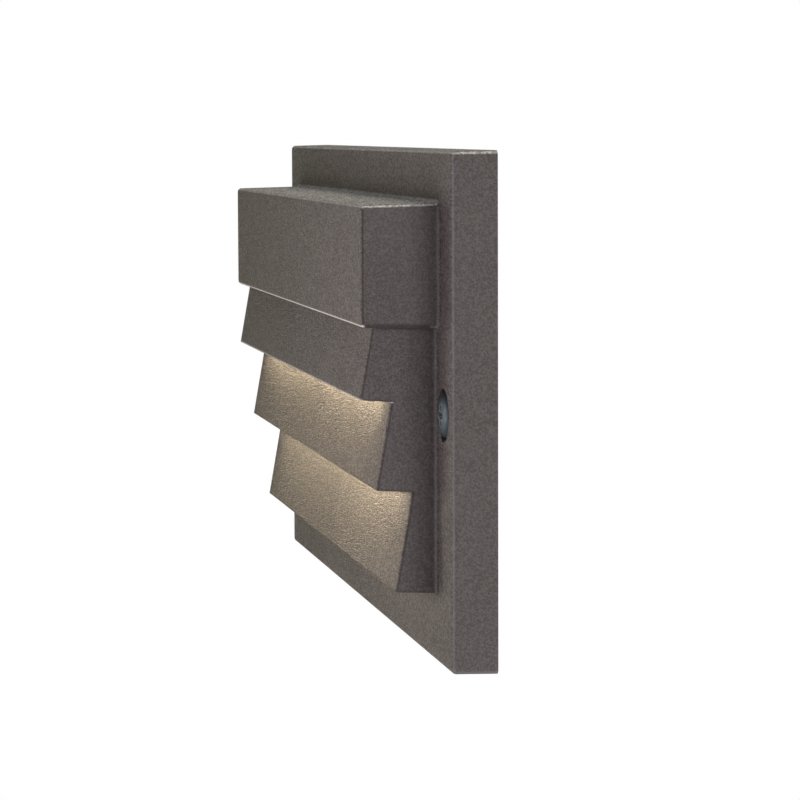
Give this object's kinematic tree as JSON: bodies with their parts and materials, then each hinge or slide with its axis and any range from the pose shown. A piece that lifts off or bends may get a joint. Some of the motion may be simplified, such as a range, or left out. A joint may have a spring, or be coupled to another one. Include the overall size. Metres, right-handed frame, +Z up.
{
  "type": "step light",
  "caption": "Wide rectangular wall step light: a cast bronze-finish plate with a boxed hood over stepped, downward leaning louvres, lit from slots under their lips.",
  "frame": {"origin": "middle of the back face, in the wall plane", "axes": "+X along the plate, +Y into the wall, +Z up; the front looks along -Y"},
  "size_m": [0.1524, 0.0184, 0.0762],
  "materials": {
    "cast_bronze": "dark bronze textured powder coat on a die casting",
    "frosted_lens": "frosted polycarbonate",
    "clear_silicone": "translucent grey silicone",
    "black_silicone": "black silicone",
    "black_foam": "closed-cell foam",
    "white_reflector": "white moulded polycarbonate",
    "white_board": "white solder mask on an aluminium board",
    "led_yellow": "phosphor and white package",
    "bare_aluminium": "mill finish sheet",
    "grey_pad": "soft thermal pad",
    "clear_film": "amber insulating film",
    "green_board": "green solder mask",
    "black_epoxy": "moulded epoxy",
    "can_metal": "capacitor can",
    "ferrite": "ferrite",
    "connector_plastic": "ivory nylon",
    "pin_metal": "plated pins",
    "zinc_steel": "zinc plated steel",
    "screw_steel": "blue-grey passivated steel"
  },
  "bodies": {
    "root": {"face_casting": "cast_bronze", "rear_cover": "bare_aluminium", "diffuser_lens": "frosted_lens", "lens_gasket": "clear_silicone", "cover_gasket": "clear_silicone", "wall_gasket": "black_foam", "wire_grommet": "black_silicone", "sealing_washers": "black_silicone", "reflector_strip": "white_reflector", "led_board": "white_board", "led_packages": "led_yellow", "led_board_screws": "zinc_steel", "thermal_pad": "grey_pad", "heat_spreader": "bare_aluminium", "spreader_screws": "zinc_steel", "insulating_film": "clear_film", "driver_board": "green_board", "driver_screws": "zinc_steel", "board_header": "black_epoxy", "header_pins": "pin_metal", "bridge_rectifier": "black_epoxy", "capacitors": "can_metal", "power_coil": "ferrite", "driver_chip": "black_epoxy", "chip_resistors": "black_epoxy", "supply_terminal": "connector_plastic", "cover_screws": "zinc_steel", "mounting_bracket": "zinc_steel", "face_screws": "screw_steel"}
  },
  "joints": []
}
